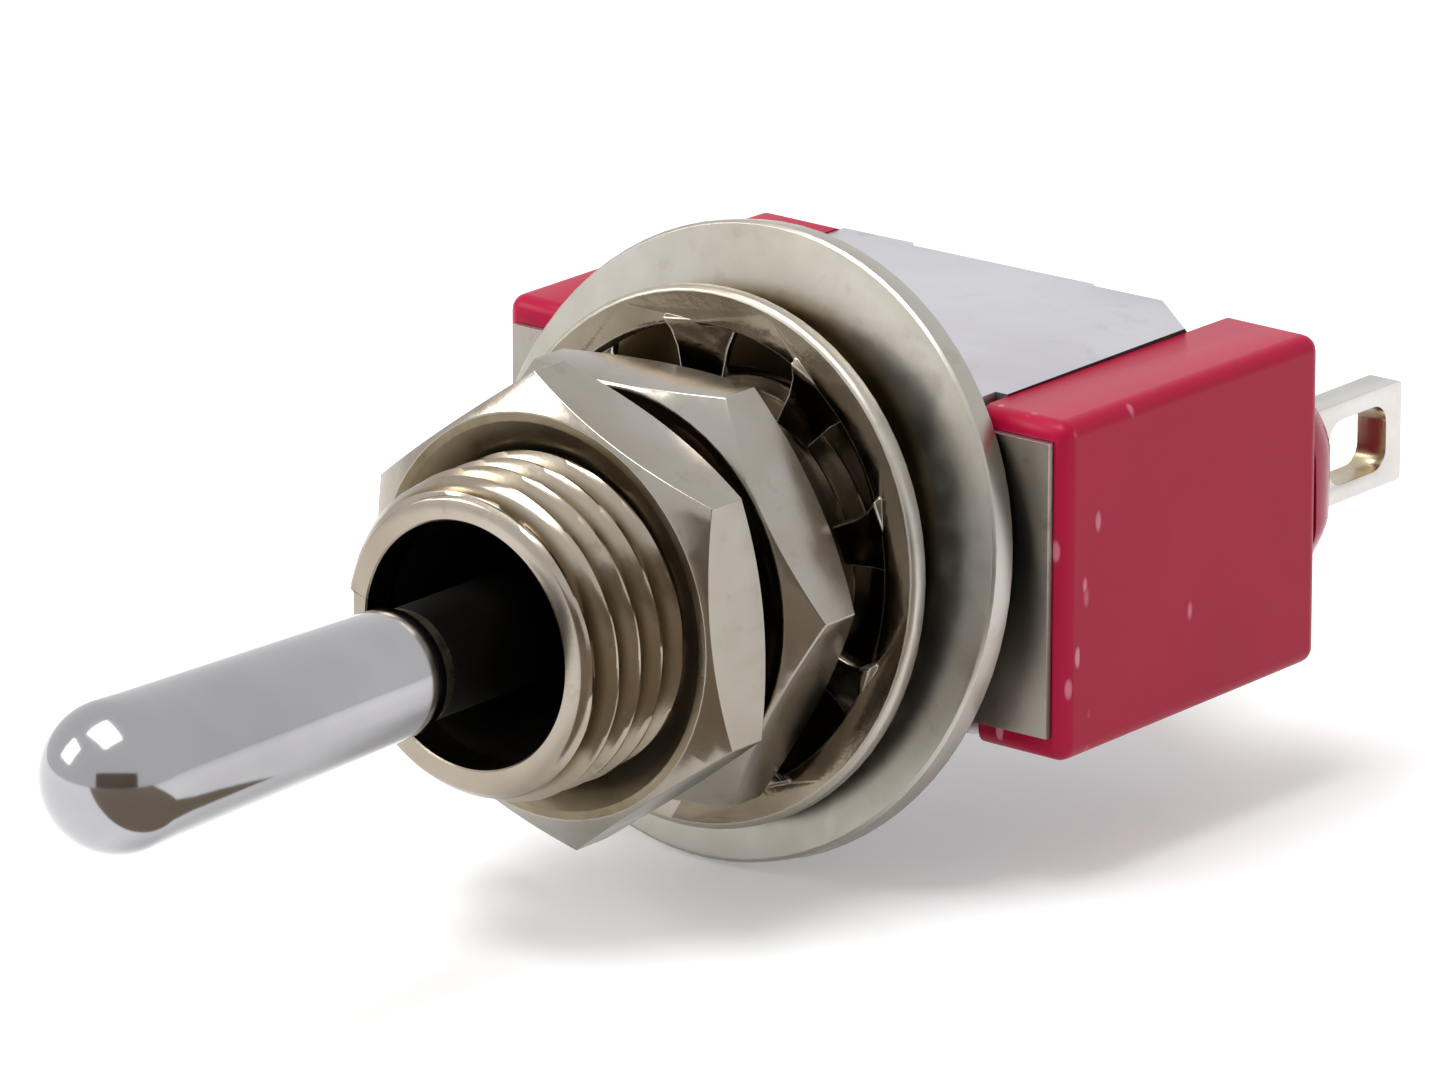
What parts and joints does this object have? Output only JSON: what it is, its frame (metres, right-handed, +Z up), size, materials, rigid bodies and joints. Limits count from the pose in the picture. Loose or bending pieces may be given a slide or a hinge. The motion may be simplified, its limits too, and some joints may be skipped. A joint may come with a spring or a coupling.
{
  "type": "panel toggle switch",
  "caption": "Miniature panel toggle switch: chrome bat lever, threaded bushing with nuts and washers, folded bracket on a red moulded body, flat solder lugs.",
  "frame": {"origin": "the bushing's axis at the front face of the bracket, which is the switch's mounting datum", "axes": "+Y along the bushing's axis from the lever to the terminals, so the lever points to -Y; +X along the long side of the body, in the plane the lever swings in; +Z up"},
  "size_m": [0.0134, 0.0329, 0.012],
  "materials": {
    "chrome": "polished",
    "nickel": "nickel plated, satin",
    "sheet": "tinned sheet, satin",
    "red_moulding": "moulded, semi-gloss",
    "red_resin": "cast resin, gloss",
    "silver_lug": "silver plated",
    "contact_silver": "silver",
    "spring_bronze": "rolled",
    "steel": "bright steel",
    "plunger_plastic": "moulded"
  },
  "bodies": {
    "switch_body": {"bushing": "nickel", "front_nut": "nickel", "rear_nut": "nickel", "lock_washer": "nickel", "locating_washer": "nickel", "bracket": "sheet", "housing": "red_moulding", "left_terminal_seal": "red_resin", "centre_terminal_seal": "red_resin", "right_terminal_seal": "red_resin", "left_terminal": "silver_lug", "centre_terminal": "silver_lug", "right_terminal": "silver_lug", "left_contact_tip": "contact_silver", "right_contact_tip": "contact_silver"},
    "lever": {"toggle_lever": "chrome", "pivot_pin": "steel", "plunger_spring": "steel"},
    "plunger_body": {"plunger": "plunger_plastic"},
    "rocker": {"rocker_contact": "spring_bronze", "rocker_button_left": "contact_silver", "rocker_button_right": "contact_silver"}
  },
  "joints": [
    {"name": "lever_pivot", "type": "hinge", "parent": "switch_body", "child": "lever", "pos_m": [0, -0.0039, 0], "axis": [0, 0, 1], "range_deg": [-12, 12]},
    {"name": "plunger_slide", "type": "slide", "parent": "lever", "child": "plunger_body", "axis": [0, 1, 0], "range_m": [-0.0004, 0], "stiffness_N_per_m": 200, "deforming": ["plunger_spring"]},
    {"name": "rocker_pivot", "type": "hinge", "parent": "switch_body", "child": "rocker", "pos_m": [0, 0.00336, 0], "axis": [0, 0, 1], "range_deg": [-9.6, 9.6]}
  ],
  "couplings": [
    {"joint": "rocker_pivot", "follows": "lever_pivot", "ratio": -0.8}
  ]
}
